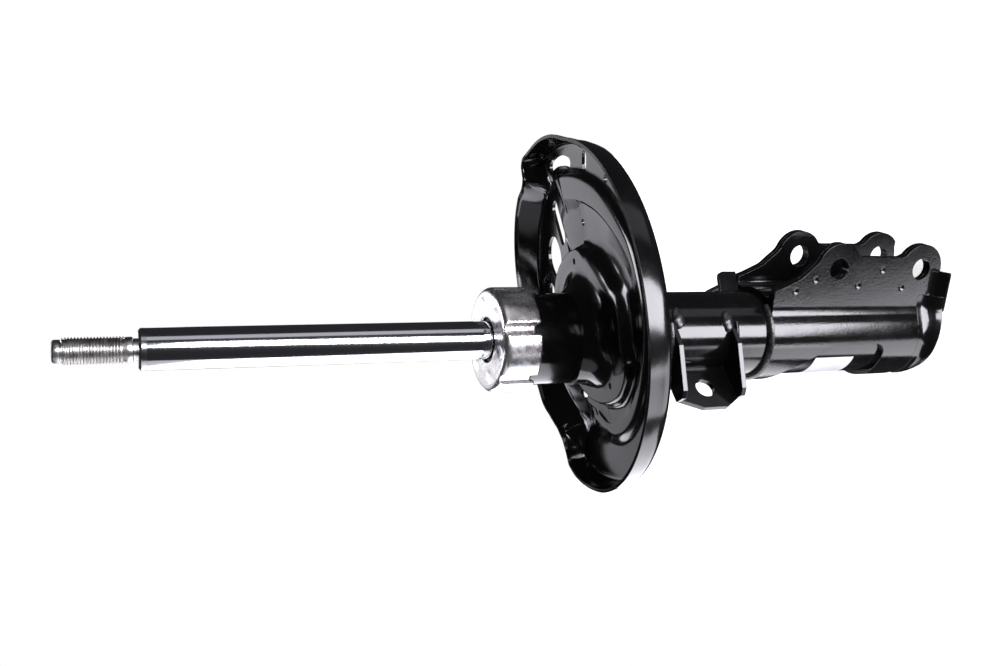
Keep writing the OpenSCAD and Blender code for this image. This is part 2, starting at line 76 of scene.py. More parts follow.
Piece = bpy.types.Object
Material = bpy.types.Material
Socket = bpy.types.NodeSocket
Span = tuple[float, float]
Triple = tuple[float, float, float]
Stops = Sequence[tuple[float, Triple]]
Profile = Sequence[Span]


class Body(Enum):
    """The bodies that new pieces ride on."""

    HOUSING = "housing"
    ROD = "rod"


class Pick(Enum):
    """What edit mode selects."""

    VERTS = "VERT"
    FACES = "FACE"


# ------------------------------------------------------------------ the bench


def way_at(bearing: float) -> Vector:
    """Unit step in the XY plane towards a bearing in degrees."""
    angle = math.radians(bearing)
    return Vector((math.cos(angle), math.sin(angle)))


def clear_selection() -> None:
    """Leave nothing selected and nothing active."""
    if bpy.context.mode != "OBJECT":
        bpy.ops.object.mode_set(mode="OBJECT")
    bpy.ops.object.select_all(action="DESELECT")
    bpy.context.view_layer.objects.active = None


def take(*pieces: Piece) -> None:
    """Select pieces alone and make the first of them active.

    Args:
        *pieces: The pieces, in object mode.
    """
    clear_selection()
    for piece in pieces:
        piece.select_set(True)
    bpy.context.view_layer.objects.active = pieces[0]


@contextmanager
def editing(piece: Piece, pick: Pick = Pick.VERTS) -> Iterator[None]:
    """Open a piece in edit mode and close it again.

    Args:
        piece: The piece to edit.
        pick: What the selection is made of.

    Yields:
        Nothing; the piece is in edit mode meanwhile.
    """
    take(piece)
    bpy.ops.object.mode_set(mode="EDIT")
    bpy.ops.mesh.select_mode(type=pick.value)
    yield
    bpy.ops.object.mode_set(mode="OBJECT")


def pick_verts(piece: Piece, test: Callable[[Vector], bool]) -> None:
    """Select the vertices of a piece that pass a test on their place.

    Args:
        piece: The piece, in object mode.
        test: Says from a place in metres whether the vertex is wanted.
    """
    mesh = piece.data
    for group in (mesh.polygons, mesh.edges):
        group.foreach_set("select", [False] * len(group))
    mesh.vertices.foreach_set("select", [bool(test(v.co)) for v in mesh.vertices])


def settle(piece: Piece, name: str) -> Piece:
    """Name a piece and put its place, turn and size into its mesh.

    Args:
        piece: The piece.
        name: Its name from now on.

    Returns:
        The same piece.
    """
    take(piece)
    bpy.ops.object.transform_apply(location=True, rotation=True, scale=True)
    piece.name = name
    piece.data.name = name
    return piece


def modify(piece: Piece, kind: str, **settings: object) -> None:
    """Add one modifier, set it and apply it.

    Args:
        piece: The piece.
        kind: The modifier's type.
        **settings: Its settings by name.
    """
    take(piece)
    modifier = piece.modifiers.new(kind.title(), kind)
    for key, value in settings.items():
        setattr(modifier, key, value)
    bpy.ops.object.modifier_apply(modifier=modifier.name)


def close_up(piece: Piece) -> None:
    """Merge a piece's doubles, close its open ends and turn all its faces outwards.

    Args:
        piece: The piece to close.
    """
    with editing(piece):
        bpy.ops.mesh.select_all(action="SELECT")
        bpy.ops.mesh.remove_doubles(threshold=DOUBLES)
        bpy.ops.mesh.select_all(action="DESELECT")
        bpy.ops.mesh.select_non_manifold(extend=False, use_wire=False, use_multi_face=False)
        bpy.ops.mesh.fill_holes(sides=0)
        bpy.ops.mesh.select_all(action="SELECT")
        bpy.ops.mesh.normals_make_consistent(inside=False)


def smooth(piece: Piece, angle: float = 35.0) -> None:
    """Shade a piece smooth where its faces meet below an angle in degrees."""
    take(piece)
    bpy.ops.object.shade_smooth_by_angle(angle=math.radians(angle))


def lathe(name: str, profile: Profile, steps: int = 96) -> Piece:
    """Spin a profile round the strut's axis.

    Args:
        name: Name of the piece.
        profile: Radii and heights in millimetres, from end to end.
        steps: Faces round the axis.

    Returns:
        The closed, turned piece.
    """
    clear_selection()
    radius, height = profile[0]
    bpy.ops.mesh.primitive_plane_add(size=MM, location=((AXIS_X + radius) * MM, 0.0, height * MM))
    piece = bpy.context.active_object
    with editing(piece):
        bpy.ops.mesh.select_all(action="SELECT")
        bpy.ops.mesh.merge(type="CENTER")
        for (r0, z0), (r1, z1) in zip(profile, profile[1:]):
            way = ((r1 - r0) * MM, 0.0, (z1 - z0) * MM)
            bpy.ops.mesh.extrude_region_move(TRANSFORM_OT_translate={"value": way})
        bpy.ops.mesh.select_all(action="SELECT")
        bpy.ops.mesh.spin(
            steps=steps, angle=math.tau, center=(AXIS_X * MM, 0.0, 0.0), axis=(0.0, 0.0, 1.0)
        )
    settle(piece, name)
    close_up(piece)
    smooth(piece)
    return piece


def grid_form(
    name: str, columns: int, rows: int, place: Callable[[float, int], Sequence[float]]
) -> Piece:
    """Lay a flat grid out and bend it into a closed form.

    Args:
        name: Name of the piece.
        columns: Steps along the grid.
        rows: Steps across it.
        place: Gives the place in millimetres of the point at a column and a row.

    Returns:
        The piece, with its seams merged and its ends closed.
    """
    clear_selection()
    bpy.ops.mesh.primitive_grid_add(x_subdivisions=columns, y_subdivisions=rows, size=1.0)
    piece = bpy.context.active_object
    for vertex in piece.data.vertices:
        column, row = (vertex.co.x + 0.5) * columns, round((vertex.co.y + 0.5) * rows)
        vertex.co = Vector(place(column, row)) * MM
    settle(piece, name)
    close_up(piece)
    return piece


def copy_nodes(name: str, *nodes: str) -> Piece:
    """Copy pieces of the frame into one merged mesh.

    Args:
        name: Name of the new piece.
        *nodes: The frame's nodes to copy.

    Returns:
        One object that holds all of them, with doubles merged.
    """
    take(*(frame["nodes"][node] for node in nodes))
    bpy.ops.object.duplicate()
    copies = list(bpy.context.selected_objects)
    for copy in copies:
        copy.parent = None
        copy.matrix_world = Matrix.Identity(4)
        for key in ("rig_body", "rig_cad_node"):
            if key in copy:
                del copy[key]
    piece = join(name, *copies)
    with editing(piece):
        bpy.ops.mesh.select_all(action="SELECT")
        bpy.ops.mesh.remove_doubles(threshold=FRAME_DOUBLES)
    piece.data.materials.clear()
    return piece


def join(name: str, *pieces: Piece) -> Piece:
    """Join meshes into one piece.

    Args:
        name: Its name.
        *pieces: The meshes to join.

    Returns:
        The joined piece.
    """
    take(*pieces)
    if len(pieces) > 1:
        bpy.ops.object.join()
    return settle(bpy.context.active_object, name)


def press_soft(piece: Piece, grain: float, passes: int) -> None:
    """Round a piece's edges as a press does, by an even remesh and a light smoothing.

    Args:
        piece: The closed piece.
        grain: Size of the even mesh, in millimetres.
        passes: Smoothing passes.
    """
    modify(piece, "REMESH", mode="VOXEL", voxel_size=grain * MM, adaptivity=0.0)
    modify(piece, "SMOOTH", iterations=passes, factor=0.5)
    take(piece)
    bpy.ops.object.shade_smooth()


# ------------------------------------------------------------------ finishes


def add_node(
    tree: bpy.types.NodeTree, kind: str, inputs: dict[str | int, object] | None = None,
    **settings: object,
) -> bpy.types.Node:
    """Add a node.

    Args:
        tree: The tree it joins.
        kind: Its type.
        inputs: What goes into its inputs: a socket to link, or a value.
        **settings: Its other settings by name.

    Returns:
        The node.
    """
    node = tree.nodes.new(kind)
    for key, value in settings.items():
        setattr(node, key, value)
    for key, value in (inputs or {}).items():
        if isinstance(value, Socket):
            tree.links.new(value, node.inputs[key])
        else:
            node.inputs[key].default_value = value
    return node


class NodeBoard:
    """Lays out the nodes of one finish."""

    def __init__(self, name: str, **values: object) -> None:
        """Start a finish.

        Args:
            name: The finish's name.
            **values: Values of the shader's sockets; underscores stand for spaces in their names.
        """
        self.material = bpy.data.materials.new(name)
        self.material.use_nodes = True
        self.tree = self.material.node_tree
        self.tree.nodes.clear()
        self.add: Callable[..., bpy.types.Node] = partial(add_node, self.tree)
        named = {key.replace("_", " "): value for key, value in values.items()}
        self.shader = self.add("ShaderNodeBsdfPrincipled", named)
        self.add("ShaderNodeOutputMaterial", {"Surface": self.shader.outputs["BSDF"]})
        self.place = self.add("ShaderNodeTexCoord").outputs["Object"]

    def stretched(self, stretch: Triple, axis_x: float = 0.0) -> Socket:
        """Coordinates measured from a line along Z and stretched along the axes.

        Args:
            stretch: Scale along X, Y and Z.
            axis_x: X of the line, in millimetres.

        Returns:
            The coordinates' socket.
        """
        shift = (-axis_x * MM * stretch[0], 0.0, 0.0)
        inputs = {"Scale": stretch, "Location": shift, "Vector": self.place}
        return self.add("ShaderNodeMapping", inputs).outputs["Vector"]

    def noise(
        self, scale: float, detail: float = 4.0, rough: float = 0.5,
        vector: Socket | None = None, distortion: float = 0.0,
    ) -> Socket:
        """Noise over the piece.

        Args:
            scale: Features per metre, roughly.
            detail: Octaves.
            rough: Strength of the small octaves.
            vector: Coordinates other than the piece's own.
            distortion: How far the pattern is stirred.

        Returns:
            The noise's value.
        """
        inputs = {
            "Scale": scale, "Detail": detail, "Roughness": rough, "Distortion": distortion,
            "Vector": vector or self.place,
        }
        return self.add("ShaderNodeTexNoise", inputs).outputs["Fac"]

    def cells(self, scale: float) -> Socket:
        """Distance to scattered points over the piece, at a scale per metre."""
        inputs = {"Scale": scale, "Vector": self.place}
        return self.add("ShaderNodeTexVoronoi", inputs).outputs["Distance"]

    def remap(self, value: Socket, source: Span, target: Span) -> Socket:
        """Stretch a value from one span to another, clamped."""
        ends = zip(("From Min", "From Max", "To Min", "To Max"), (*source, *target))
        return self.add("ShaderNodeMapRange", {"Value": value, **dict(ends)}).outputs["Result"]

    def ramp(self, value: Socket, stops: Stops) -> Socket:
        """Turn a value into a colour.

        Args:
            value: The value's socket.
            stops: Places and colours, in order.

        Returns:
            The colour's socket.
        """
        node = self.add("ShaderNodeValToRGB", {"Fac": value})
        elements = node.color_ramp.elements
        while len(elements) < len(stops):
            elements.new(0.5)
        for element, (place, colour) in zip(elements, stops):
            element.position = place
            element.color = (*colour, 1.0)
        return node.outputs["Color"]

    def math(self, kind: str, first: Socket, second: Socket | float) -> Socket:
        """Combine two values by a named operation."""
        return self.add("ShaderNodeMath", {0: first, 1: second}, operation=kind).outputs["Value"]

    def blend(self, share: Socket, first: Socket, second: Triple) -> Socket:
        """Mix a colour into another.

        Args:
            share: How much of the second shows.
            first: The first colour's socket.
            second: The second colour.

        Returns:
            The mixed colour's socket.
        """
        node = self.add("ShaderNodeMix", {"Factor": share}, data_type="RGBA")
        start, end = (s for s in node.inputs if s.name in ("A", "B") and s.type == "RGBA")
        self.tree.links.new(first, start)
        end.default_value = (*second, 1.0)
        return next(s for s in node.outputs if s.type == "RGBA")

    def rounded(self, radius: float) -> Socket:
        """Normals that round the edges by a radius in millimetres."""
        return self.add("ShaderNodeBevel", {"Radius": radius * MM}, samples=4).outputs["Normal"]

    def edges(self, rounded: Socket) -> Socket:
        """How near an edge is, from rounded normals: 0 on a plain face, rising to 1."""
        plain = self.add("ShaderNodeNewGeometry").outputs["Normal"]
        dot = self.add("ShaderNodeVectorMath", {0: rounded, 1: plain}, operation="DOT_PRODUCT")
        return self.remap(dot.outputs["Value"], (0.99, 0.75), UNIT)

    def bump(self, height: Socket, distance: float, under: Socket | None = None) -> Socket:
        """Relief over the surface.

        Args:
            height: The relief's value.
            distance: Height of a full step, in millimetres.
            under: Normals that the relief lies on.

        Returns:
            The new normals.
        """
        inputs = {"Strength": 1.0, "Distance": distance * MM, "Height": height}
        if under is not None:
            inputs["Normal"] = under
        return self.add("ShaderNodeBump", inputs).outputs["Normal"]

    def feed(
        self, base: Socket, rough: Socket | None = None, normal: Socket | None = None
    ) -> Material:
        """Link the sockets that a finish has worked out into its shader.

        Args:
            base: Its colour.
            rough: Its roughness.
            normal: Its normals.

        Returns:
            The finish.
        """
        for key, socket in (("Base Color", base), ("Roughness", rough), ("Normal", normal)):
            if socket is not None:
                self.tree.links.new(socket, self.shader.inputs[key])
        return self.material


@dataclass(frozen=True)
class BlackPaint:
    """Stoved black paint on pressed steel, with orange peel, dust and rubbed edges."""

    name: str = "black_paint"
    depth: float = 0.0012
    gloss: float = 0.13
    peel: float = 0.012
    wave: float = 0.12
    edge: float = 0.5
    specks: float = 0.5

    def make(self) -> Material:
        """Lay the finish out."""
        board = NodeBoard(self.name, Specular_IOR_Level=0.5, IOR=1.5)
        dark = (self.depth, self.depth, self.depth * 1.06)
        light = (self.depth * 1.7, self.depth * 1.7, self.depth * 1.8)
        base = board.ramp(board.noise(38.0, 5.0, 0.6), [(0.35, dark), (0.68, light)])
        round_normal = board.rounded(self.edge)
        near_edge = board.edges(round_normal)
        worn = board.remap(board.noise(260.0, 3.0), (0.45, 0.7), (0.0, 0.35))
        base = board.blend(board.math("MULTIPLY", near_edge, worn), base, (0.02, 0.02, 0.021))
        dust = board.remap(board.cells(620.0), (0.10, 0.05), (0.0, self.specks))
        patches = board.remap(board.noise(30.0, 3.0), (0.5, 0.65), UNIT)
        base = board.blend(board.math("MULTIPLY", dust, patches), base, (0.06, 0.06, 0.06))
        sheen = (self.gloss * 0.75, self.gloss * 1.45)
        rough = board.remap(board.noise(55.0, 6.0, 0.65), (0.3, 0.75), sheen)
        rough = board.math("ADD", rough, board.math("MULTIPLY", near_edge, 0.1))
        normal = board.bump(board.noise(22.0, 2.0), self.wave, round_normal)
        normal = board.bump(board.noise(700.0, 3.0), self.peel, normal)
        return board.feed(base, rough, normal)


@dataclass(frozen=True)
class HardChrome:
    """Ground and hard-chromed rod surface with a faint band below the shoulder."""

    name: str = "chromed_rod"
    band: float = 411.0

    def make(self) -> Material:
        """Lay the finish out."""
        board = NodeBoard(self.name, Metallic=1.0)
        high = board.add("ShaderNodeSeparateXYZ", {"Vector": board.place}).outputs["Z"]
        above = board.remap(high, (self.band * MM, (self.band + 0.4) * MM), UNIT)
        fine = board.noise(60.0, 5.0, 0.7, board.stretched((0.6, 0.6, 60.0)))
        cloud = board.noise(16.0, 4.0, 0.6, board.stretched((1.0, 1.0, 0.35)))
        base = board.ramp(cloud, [(0.3, (0.60, 0.61, 0.64)), (0.7, (0.68, 0.69, 0.71))])
        base = board.blend(above, base, (0.55, 0.55, 0.56))
        rough = board.remap(cloud, MIDDLE, (0.075, 0.12))
        rough = board.math("ADD", rough, board.math("MULTIPLY", above, 0.08))
        rough = board.math("ADD", rough, board.remap(fine, (0.5, 0.8), (0.0, 0.05)))
        return board.feed(base, rough, board.bump(fine, 0.0012))


@dataclass(frozen=True)
class ZincPlate:
    """Passivated zinc with a faint iridescent tint and a cloudy sheen."""

    name: str = "zinc"
    tints: Stops = (
        (0.28, (0.74, 0.79, 0.84)), (0.42, (0.86, 0.85, 0.86)), (0.55, (0.90, 0.85, 0.85)),
        (0.68, (0.84, 0.85, 0.82)), (0.8, (0.74, 0.79, 0.83)),
    )

    def make(self) -> Material:
        """Lay the finish out."""
        board = NodeBoard(self.name, Metallic=1.0)
        base = board.ramp(board.noise(42.0, 4.0, 0.6, distortion=0.8), self.tints)
        grain = board.noise(240.0, 6.0, 0.7)
        rough = board.remap(grain, (0.3, 0.75), (0.2, 0.34))
        normal = board.bump(board.noise(60.0, 3.0), 0.022, board.rounded(0.5))
        return board.feed(base, rough, board.bump(grain, 0.006, normal))


@dataclass(frozen=True)
class BareMetal:
    """Bare metal of an inner part: drawn, turned or sintered."""

    name: str
    dark: Triple
    light: Triple
    rough: Span
    grain: float
    relief: float
    turned: float = 1.0

    def make(self) -> Material:
        """Lay the finish out."""
        board = NodeBoard(self.name, Metallic=1.0)
        vector = board.stretched((1.0, 1.0, self.turned), AXIS_X)
        grain = board.noise(self.grain, 5.0, 0.65, vector)
        base = board.ramp(grain, [(0.3, self.dark), (0.7, self.light)])
        rough = board.remap(board.noise(self.grain * 0.4, 4.0, 0.6, vector), MIDDLE, self.rough)
        return board.feed(base, rough, board.bump(grain, self.relief, board.rounded(0.3)))


@dataclass(frozen=True)
class PlainFinish:
    """One grain in the colour, one in the sheen and one in the relief.

    A grain is a noise's scale, octaves and strength of the small ones.
    """

    name: str
    stops: Stops
    tone: Triple
    sheen: Triple
    rough: Span
    relief: Triple
    height: float
    metallic: float = 0.0
    specular: float = 0.5
    rounding: float = 0.0

    def make(self) -> Material:
        """Lay the finish out."""
        board = NodeBoard(self.name, Metallic=self.metallic, Specular_IOR_Level=self.specular)
        base = board.ramp(board.noise(*self.tone), self.stops)
        rough = board.remap(board.noise(*self.sheen), MIDDLE, self.rough)
        under = board.rounded(self.rounding) if self.rounding else None
        return board.feed(base, rough, board.bump(board.noise(*self.relief), self.height, under))


WELDED_SEAM = PlainFinish(
    "welded_seam",
    ((0.3, (0.004, 0.004, 0.0045)), (0.62, (0.010, 0.011, 0.010)), (0.85, (0.03, 0.034, 0.03))),
    (300.0, 4.0, 0.5), (420.0, 4.0, 0.5), (0.18, 0.42), (520.0, 4.0, 0.6), 0.16,
)
ROLLED_THREAD = PlainFinish(
    "threaded_steel", ((0.3, (0.30, 0.29, 0.28)), (0.7, (0.50, 0.49, 0.48))),
    (160.0, 5.0, 0.65), (340.0, 4.0, 0.5), (0.24, 0.42), (900.0, 3.0, 0.5), 0.01, metallic=1.0,
)
MOULDED_RUBBER = PlainFinish(
    "rubber", ((0.3, (0.012, 0.012, 0.012)), (0.7, (0.024, 0.023, 0.022))),
    (90.0, 5.0, 0.5), (260.0, 4.0, 0.5), (0.5, 0.72), (1400.0, 3.0, 0.5), 0.02,
    specular=0.35, rounding=0.3,
)
LABEL_PAPER = PlainFinish(
    "label_paper", ((0.3, (0.34, 0.35, 0.36)), (0.7, (0.42, 0.42, 0.41))),
    (120.0, 4.0, 0.5), (300.0, 4.0, 0.5), (0.3, 0.5), (500.0, 3.0, 0.5), 0.01,
)


def dress(piece: Piece, material: Material) -> None:
    """Give a piece, or a node of the frame, one finish all over.

    Args:
        piece: The piece or node.
        material: Its finish.
    """
    if not piece.data.materials:
        piece.data.materials.append(material)
    for number, _ in enumerate(piece.data.materials):
        piece.data.materials[number] = material


def finish_piece(
    piece: Piece, body: Body, material: Material, replaces: Sequence[str] = ()
) -> None:
    """Dress a new piece and tie it to its body.

    Args:
        piece: The new piece.
        body: The body it moves with.
        material: Its finish.
        replaces: The frame's nodes that it stands for.
    """
    dress(piece, material)
    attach(piece, body.value)
    if replaces:
        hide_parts(*replaces)
    log.info("%s: %d faces", piece.name, len(piece.data.polygons))


# ------------------------------------------------------------------ sub-assemblies


@dataclass
class StrutRod:
    """Chromed rod with its grooves and the threaded stud."""

    radius: float = 11.0
    foot: float = 105.1
    stem: float = 6.0
    stem_top: float = 140.1
    groove: float = 176.1
    groove_wide: float = 5.0
    groove_deep: float = 0.8
    shoulder: float = 415.0
    undercut: float = 6.55
    thread_start: float = 421.1
    thread_end: float = 450.0
    pilot: float = 5.9
    tip: float = 455.2
    core: float = 6.12
    crest: float = 6.96
    pitch: float = 1.5
    stud_root: float = 5.7
    pilot_groove: float = 0.35
    ridge_foot: float = 0.96
    ridge_crest: float = 0.14
    ridge_steps: int = 48
    shoulder_bevel: Profile = ((0.0, -1.35), (-0.12, -1.0), (-0.85, -0.18), (-1.1, 0.0))

    def shaft(self) -> Piece:
        """Turn the rod from its stem to its shoulder."""
        r, foot, stem, top = self.radius, self.foot, self.stem, self.shoulder
        sunk, groove_top = r - self.groove_deep, self.groove + self.groove_wide
        profile = [
            (0.0, foot), (stem - 0.8, foot), (stem, foot + 0.8), (stem, self.stem_top),
            (r - 0.6, self.stem_top), (r, self.stem_top + 0.6),
            (r, self.groove), (sunk, self.groove), (sunk, groove_top), (r, groove_top),
            *((r + out, top + up) for out, up in self.shoulder_bevel), (stem - 0.8, top), (0.0, top),
        ]
        return lathe("rod_shaft", profile, steps=144)

    def stud(self) -> Piece:
        """Turn the stud's core, undercut, run-out and pilot."""
        foot, low, high, tip = self.shoulder, self.thread_start, self.thread_end, self.tip
        root, wide, core, pilot = self.stud_root, self.undercut, self.core, self.pilot
        waist = pilot - self.pilot_groove
        profile = [
            (0.0, foot - 1.0), (root, foot - 1.0), (root, foot + 2.2), (wide - 0.1, foot + 2.7),
            (wide, foot + 3.0), (wide, low - 0.3), (core, low + 0.4), (core, high - 0.2),
            (waist, high + 0.5), (waist, high + 1.1), (pilot, high + 1.5),
            (pilot, tip - 1.0), (pilot - 0.3, tip - 0.5), (pilot - 1.0, tip), (0.0, tip),
        ]
        return lathe("rod_stud", profile)

    def thread(self) -> Piece:
        """Wind the rolled thread's ridge round the stud."""
        inner, outer = self.core - 0.15, self.crest
        turns = int((self.thread_end - self.thread_start) / self.pitch)
        clear_selection()
        bpy.ops.mesh.primitive_plane_add(size=1.0, rotation=(math.pi / 2, 0.0, 0.0))
        ridge = bpy.context.active_object
        ridge.scale = ((outer - inner) * MM, self.pitch * self.ridge_foot * MM, 1.0)
        ridge.location = ((inner + outer) / 2 * MM, 0.0, 0.0)
        settle(ridge, "rod_thread")
        pick_verts(ridge, lambda co: co.x > (inner + outer) / 2 * MM)
        with editing(ridge):
            bpy.ops.transform.resize(value=(1.0, 1.0, self.ridge_crest))
        ridge.location = (AXIS_X * MM, 0.0, (self.thread_start + self.pitch * 0.55) * MM)
        modify(
            ridge, "SCREW", axis="Z", angle=math.tau, screw_offset=self.pitch * MM,
            iterations=turns, steps=self.ridge_steps, render_steps=self.ridge_steps,
            use_merge_vertices=False,
        )
        settle(ridge, "rod_thread")
        close_up(ridge)
        smooth(ridge, 30.0)
        return ridge

    def build(self) -> None:
        """Make and dress the rod."""
        steel = ROLLED_THREAD.make()
        chrome = HardChrome().make()
        finish_piece(self.shaft(), Body.ROD, chrome, ["piston_rod"])
        stud = join("rod_stud", self.stud(), self.thread())
        finish_piece(stud, Body.ROD, steel)


def blend_step(value: float, low: float, high: float) -> float:
    """Rise smoothly from 0 at one value to 1 at another."""
    share = min(1.0, max(0.0, (value - low) / (high - low)))
    return share * share * (3.0 - 2.0 * share)


def mix(first: float, second: float, share: float) -> float:
    """Value between two, a share of the way from the first to the second."""
    return first * (1 - share) + second * share


def curve_through(points: Sequence[Sequence[float]], t: float) -> tuple[float, ...]:
    """Place on a smooth curve between the second and the third of four points.

    Args:
        points: The four points.
        t: Share of the way from the second to the third.

    Returns:
        The place.
    """
    return tuple(
        0.5 * (
            2 * b + (c - a) * t + (2 * a - 5 * b + 4 * c - d) * t * t
            + (3 * b - a - 3 * c + d) * t ** 3
        )
        for a, b, c, d in zip(*points)
    )


class Outline:
    """A value that runs smoothly round the pan through its stated bearings."""

    def __init__(self, *knots: Span) -> None:
        """Take the knots and work out the slope at each.

        Args:
            *knots: Bearing in degrees and value of each, in order.
        """
        before = [(bearing - 360.0, value) for bearing, value in knots[-2:]]
        after = [(bearing + 360.0, value) for bearing, value in knots[:2]]
        self.knots = [*before, *knots, *after]
        rises = [(v1 - v0) / (b1 - b0) for (b0, v0), (b1, v1) in zip(self.knots, self.knots[1:])]
        self.slopes = [rises[0]]
        for rise, on in zip(rises, rises[1:]):
            self.slopes.append(2 * rise * on / (rise + on) if rise * on > 0 else 0.0)
        self.slopes.append(rises[-1])

    def at(self, bearing: float) -> float:
        """Value at a bearing.

        Args:
            bearing: Degrees round the pan's centre.

        Returns:
            The value, in millimetres.
        """
        bearing %= 360.0
        number = bisect_right(self.knots, (bearing, math.inf)) - 1
        (b0, v0), (b1, v1) = self.knots[number:number + 2]
        s0, s1 = self.slopes[number:number + 2]
        span = b1 - b0
        t = (bearing - b0) / span
        start = (1 + 2 * t) * v0 + t * span * s0
        end = (3 - 2 * t) * v1 + (t - 1) * span * s1
        return (1 - t) ** 2 * start + t * t * end


def soft_corners(corners: Sequence[Triple], bends: int, straights: int) -> Profile:
    """Round the corners of a section and space points along it.

    Args:
        corners: Reach, height and rounding of each corner, from end to end.
        bends: Points round each corner, besides its first.
        straights: Points between two corners.

    Returns:
        The rounded section, always with the same number of points.
    """
    points: list[Span] = []
    spots = [Vector(corner[:2]) for corner in corners]
    leave = spots[0]
    for before, here, after, corner in zip(spots, spots[1:], spots[2:], corners[1:]):
        run_in, run_out = before - here, after - here
        reach = min(corner[2], run_in.length * 0.45, run_out.length * 0.45)
        start = here + run_in.normalized() * reach
        end = here + run_out.normalized() * reach
        for step in range(straights):
            points.append(tuple(leave.lerp(start, step / straights)))
        for step in range(bends):
            t = step / bends
            points.append(tuple(start * (1 - t) ** 2 + here * 2 * t * (1 - t) + end * t * t))
        leave = end
    for step in range(straights + 1):
        points.append(tuple(leave.lerp(spots[-1], step / straights)))
    return points


def under_side(corners: Sequence[Triple], sheet: float) -> list[Triple]:
    """Corners of a sheet's other face.

    Args:
        corners: Reach, height and rounding of each corner of its first face, from outside in.
        sheet: The sheet's thickness.

    Returns:
        The other face's corners, in the same order.
    """
    spots = [Vector(corner[:2]) for corner in corners]
    ways = [(on - here).normalized() for here, on in zip(spots, spots[1:])]
    result = []
    for number, (spot, corner) in enumerate(zip(spots, corners)):
        before, after = ways[max(number - 1, 0)], ways[min(number, len(ways) - 1)]
        side = Vector((-before.y, before.x)) + Vector((-after.y, after.x))
        turn = before.angle_signed(after, 0.0)
        moved = spot + side * (sheet / (1.0 + before.dot(after)))
        result.append((moved.x, moved.y, max(0.4, corner[2] - sheet * math.tan(turn / 2))))
    return result


def slot_outline(path: Profile, half: float, cap: int = 8) -> Profile:
    """Outline of a slot with round ends along a path.

    Args:
        path: Points of its centre line in millimetres.
        half: Half its width.
        cap: Steps round each end.

    Returns:
        The outline's points.
    """
    line = [Vector(point) for point in path]
    sides: list[list[Vector]] = [[], []]
    for number, here in enumerate(line):
        ahead = line[min(number + 1, len(line) - 1)] - line[max(number - 1, 0)]
        across = Vector((-ahead.y, ahead.x)).normalized() * half
        sides[0].append(here + across)
        sides[1].append(here - across)
    points = list(sides[0])
    for end, first, back in ((line[-1], sides[0][-1], sides[1][::-1]), (line[0], sides[1][0], [])):
        for step in range(1, cap):
            turn = Matrix.Rotation(-math.pi * step / cap, 2)
            points.append(end + turn @ (first - end))
        points.extend(back)
    return [tuple(point) for point in points]


# Bearing and reach along the far side, shared by the fold and by the far floor's edge.
FAR_SIDE = (
    (56, 101), (66.6, 100.5), (76.3, 98.5), (85.5, 96.5), (94.8, 95), (115, 86), (142.6, 77.4),
    (150, 75.6), (158.5, 74.2),
)


